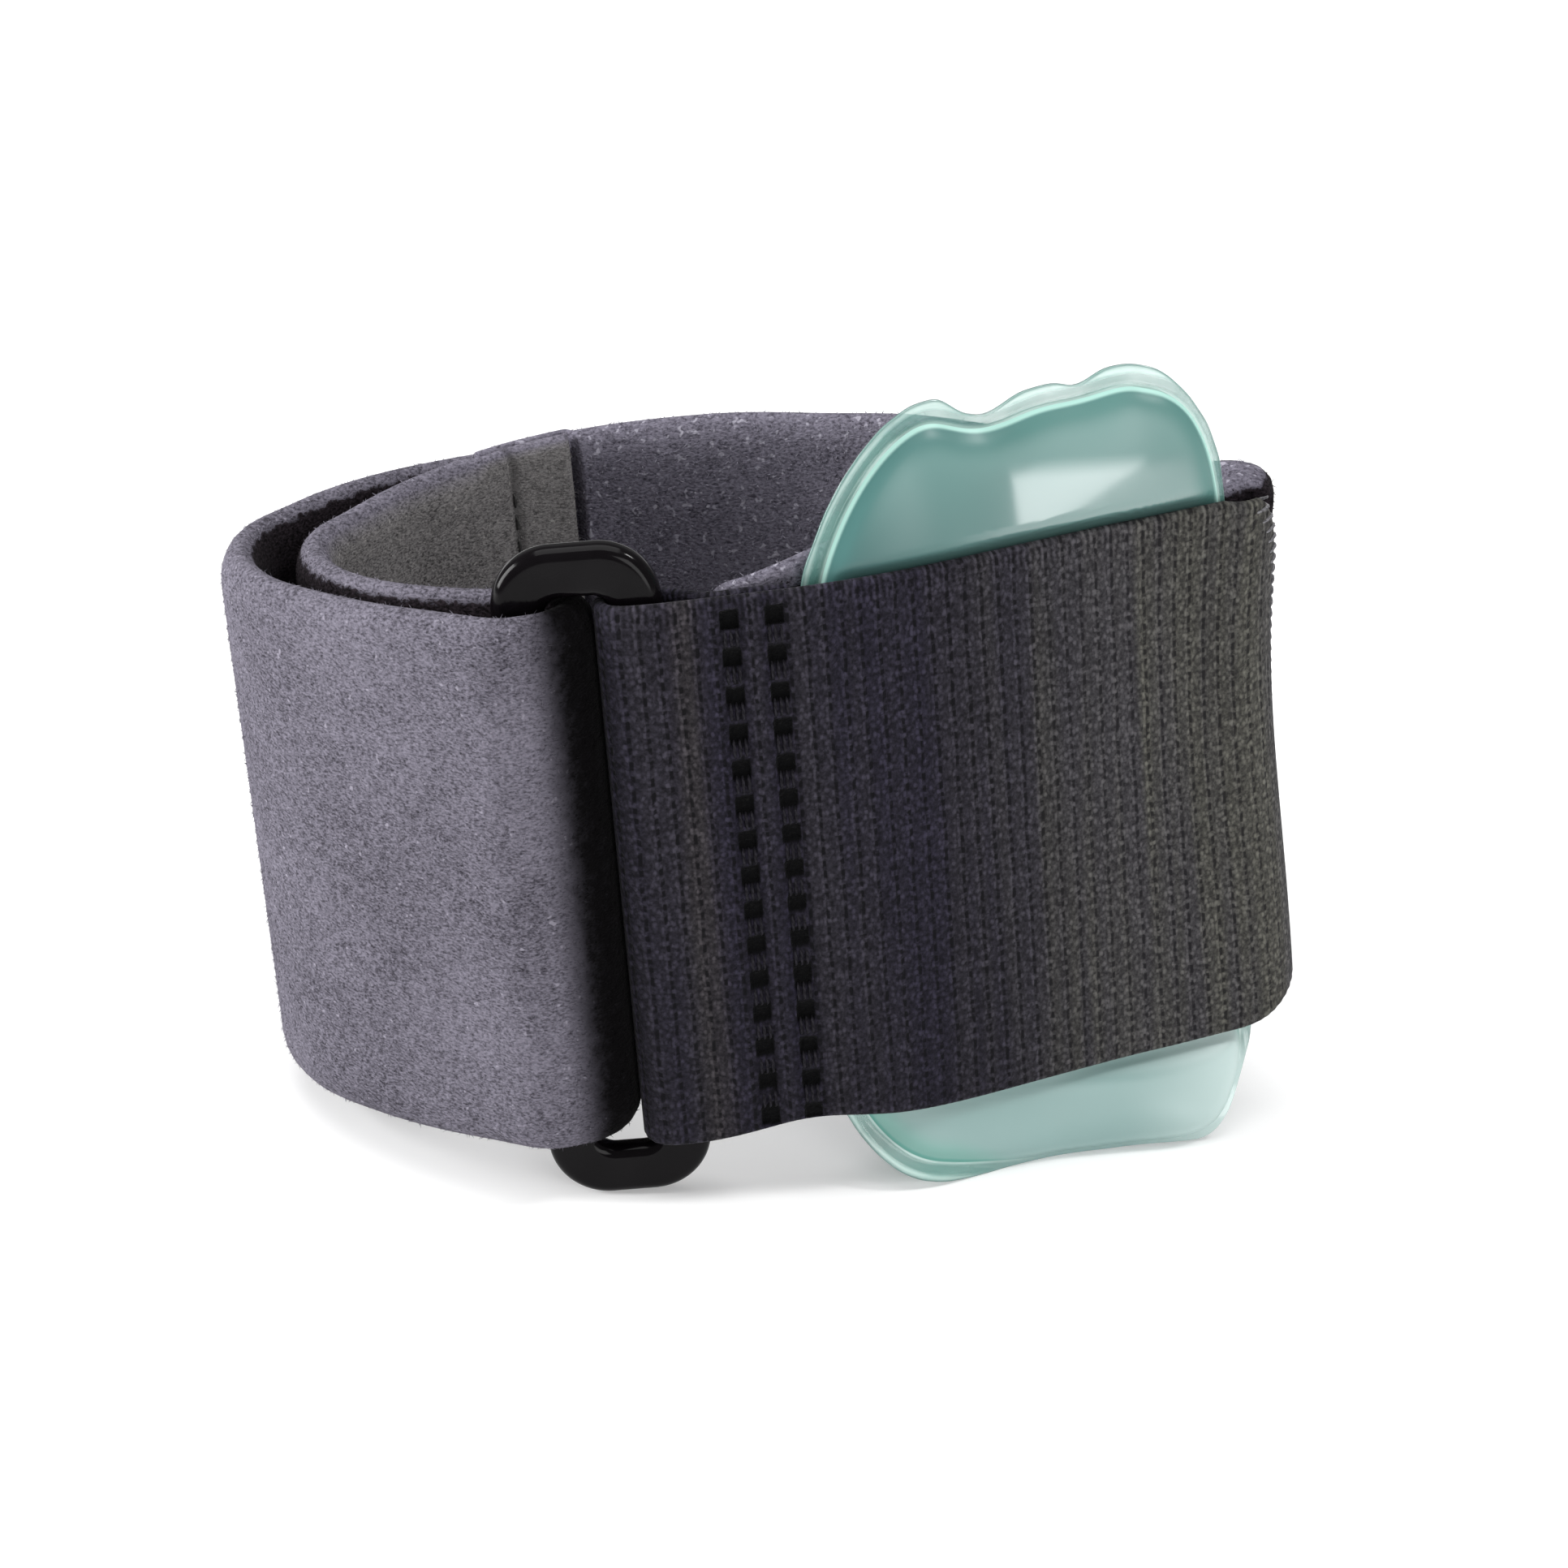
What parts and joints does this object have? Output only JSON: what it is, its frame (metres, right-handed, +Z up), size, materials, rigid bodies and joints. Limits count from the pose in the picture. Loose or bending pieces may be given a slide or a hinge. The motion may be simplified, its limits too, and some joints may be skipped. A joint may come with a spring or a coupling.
{
  "type": "pneumatic tennis elbow support",
  "caption": "Padded forearm band closed on itself through a plastic ring, with a translucent teal air cell in a pocket under a stretched knitted elastic panel.",
  "frame": {"origin": "middle of the bounding box, on the surface that the support stands on", "axes": "+Z up, roughly along the forearm; the elastic panel faces -Y; +X runs from the flap's side to the panel's folded end"},
  "size_m": [0.1446, 0.0886, 0.1084],
  "materials": {
    "ring_plastic": "glossy black moulding",
    "knitted_elastic": "charcoal knit with fine upright ribs",
    "cell_vinyl": "translucent teal film with a clear flange",
    "body_pile": "dark grey flecked pile on foam",
    "strap_felt": "light purple-grey brushed felt on foam",
    "hook_tape": "black hook tape"
  },
  "bodies": {
    "root": {"ring": "ring_plastic", "elastic_panel": "knitted_elastic", "air_cell": "cell_vinyl", "foam_body": "body_pile", "closure_strap": "strap_felt", "hook_tab": "hook_tape"}
  },
  "joints": []
}
